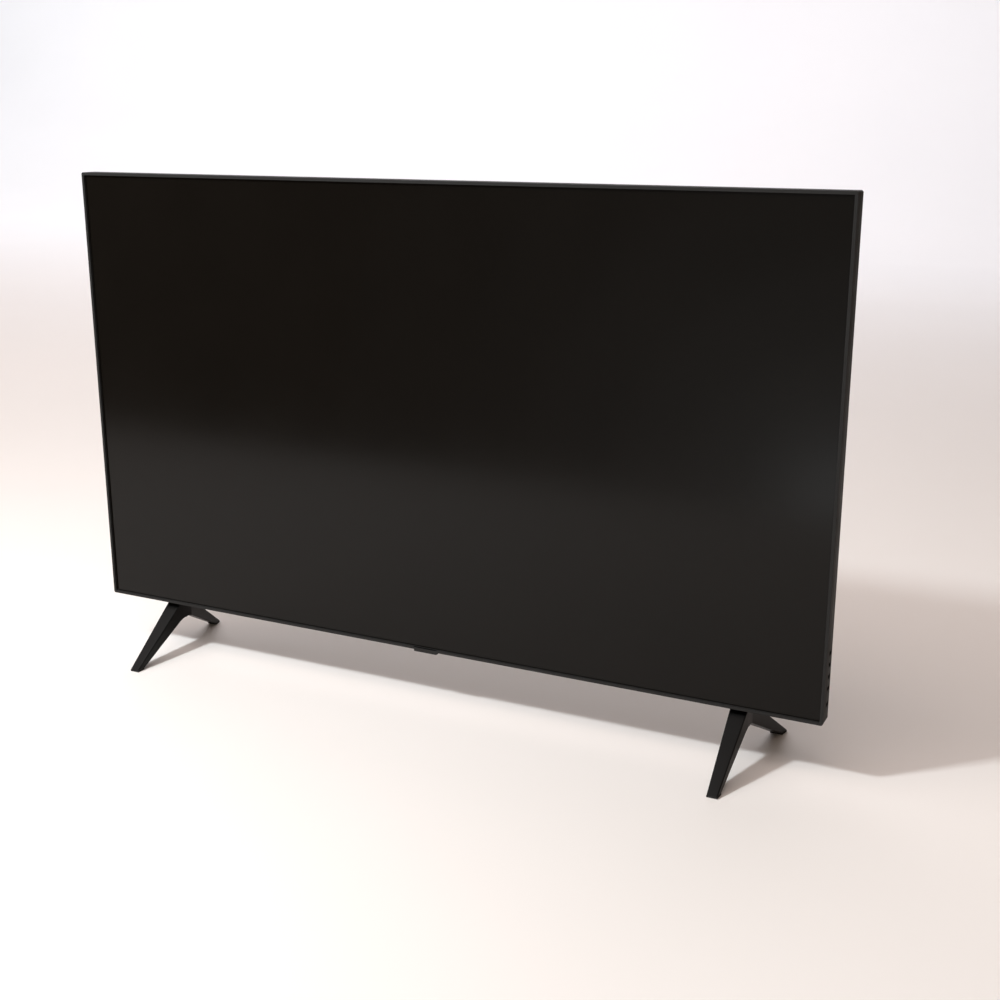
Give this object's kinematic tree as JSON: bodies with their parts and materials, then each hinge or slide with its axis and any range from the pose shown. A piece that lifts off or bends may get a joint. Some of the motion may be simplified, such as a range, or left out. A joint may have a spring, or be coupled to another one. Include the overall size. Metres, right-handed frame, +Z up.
{
  "type": "flat screen television",
  "caption": "Slim flat screen television: thin dark bezel, rear cover with a lower housing and socket bays, push keys low on one edge, and splayed V feet.",
  "frame": {"origin": "on the floor, under the middle of the set, midway between the front and rear leg tips", "axes": "+X to the right of a viewer who faces the screen, +Y to the back of the set, +Z up"},
  "size_m": [0.967, 0.1994, 0.626],
  "materials": {
    "bezel_plastic": "fine satin moulding, charcoal",
    "cover_plastic": "fine grained moulding, charcoal",
    "screen_glass": "dark screen under a soft anti-glare film",
    "foot_plastic": "satin black moulding",
    "key_plastic": "gloss black",
    "window_plastic": "smoked gloss",
    "black_plastic": "plain moulding",
    "black_foam": "closed cell foam",
    "pad_rubber": "matt rubber",
    "optical_film": "milky film",
    "clear_acrylic": "clear acrylic",
    "lamp_phosphor": "yellow phosphor",
    "zinc_steel": "zinc coated",
    "screw_steel": "black zinc",
    "bare_aluminium": "bare extrusion",
    "socket_metal": "nickel plated shell",
    "plated_pins": "plated contact pins",
    "circuit_board": "green solder mask",
    "amber_film": "amber polyimide",
    "ribbon_film": "white flat cable",
    "red_insulation": "wire insulation",
    "yellow_insulation": "wire insulation",
    "black_insulation": "wire insulation",
    "white_insulation": "wire insulation",
    "cone_paper": "pulp cone"
  },
  "bodies": {
    "set_body": {"front_bezel": "bezel_plastic", "sensor_housing": "bezel_plastic", "rear_cover": "cover_plastic", "lcd_panel": "screen_glass", "left_foot": "foot_plastic", "right_foot": "foot_plastic", "sensor_window": "window_plastic", "mid_frame": "black_plastic", "key_bracket": "black_plastic", "left_speaker_box": "black_plastic", "right_speaker_box": "black_plastic", "main_board_parts": "black_plastic", "power_board_parts": "black_plastic", "mains_inlet": "black_plastic", "optical_socket": "black_plastic", "panel_gasket": "black_foam", "speaker_pads": "black_foam", "foot_pads": "pad_rubber", "prism_sheet": "optical_film", "diffuser_sheet": "optical_film", "reflector_sheet": "optical_film", "light_guide": "clear_acrylic", "backlight_leds": "lamp_phosphor", "backplate": "zinc_steel", "foot_brackets": "zinc_steel", "wall_mount_posts": "zinc_steel", "key_switches": "zinc_steel", "speaker_drivers": "zinc_steel", "cover_screws": "screw_steel", "board_screws": "screw_steel", "foot_screws": "screw_steel", "led_heat_bar": "bare_aluminium", "main_heat_sink": "bare_aluminium", "hdmi_sockets": "socket_metal", "usb_sockets": "socket_metal", "network_socket": "socket_metal", "aerial_socket": "socket_metal", "mains_pins": "plated_pins", "main_board": "circuit_board", "power_board": "circuit_board", "timing_board": "circuit_board", "source_boards": "circuit_board", "wireless_module": "circuit_board", "sensor_board": "circuit_board", "key_board": "circuit_board", "led_strip": "circuit_board", "driver_films": "amber_film", "video_ribbon": "ribbon_film", "power_harness": "red_insulation", "backlight_harness": "yellow_insulation", "speaker_wires": "black_insulation", "control_wires": "white_insulation"},
    "power_key": {"power_key": "key_plastic"},
    "channel_down_key": {"channel_down_key": "key_plastic"},
    "channel_up_key": {"channel_up_key": "key_plastic"},
    "volume_down_key": {"volume_down_key": "key_plastic"},
    "volume_up_key": {"volume_up_key": "key_plastic"},
    "left_speaker_cone": {"left_speaker_cone": "cone_paper"},
    "right_speaker_cone": {"right_speaker_cone": "cone_paper"}
  },
  "joints": [
    {"name": "power_key_press", "type": "slide", "parent": "set_body", "child": "power_key", "axis": [-1, 0, 0], "range_m": [0, 0.0006], "stiffness_N_per_m": 400},
    {"name": "channel_down_key_press", "type": "slide", "parent": "set_body", "child": "channel_down_key", "axis": [-1, 0, 0], "range_m": [0, 0.0006], "stiffness_N_per_m": 400},
    {"name": "channel_up_key_press", "type": "slide", "parent": "set_body", "child": "channel_up_key", "axis": [-1, 0, 0], "range_m": [0, 0.0006], "stiffness_N_per_m": 400},
    {"name": "volume_down_key_press", "type": "slide", "parent": "set_body", "child": "volume_down_key", "axis": [-1, 0, 0], "range_m": [0, 0.0006], "stiffness_N_per_m": 400},
    {"name": "volume_up_key_press", "type": "slide", "parent": "set_body", "child": "volume_up_key", "axis": [-1, 0, 0], "range_m": [0, 0.0006], "stiffness_N_per_m": 400},
    {"name": "left_speaker_cone_travel", "type": "slide", "parent": "set_body", "child": "left_speaker_cone", "axis": [0, 0, 1], "range_m": [-0.0008, 0.0008], "stiffness_N_per_m": 1200},
    {"name": "right_speaker_cone_travel", "type": "slide", "parent": "set_body", "child": "right_speaker_cone", "axis": [0, 0, 1], "range_m": [-0.0008, 0.0008], "stiffness_N_per_m": 1200}
  ]
}
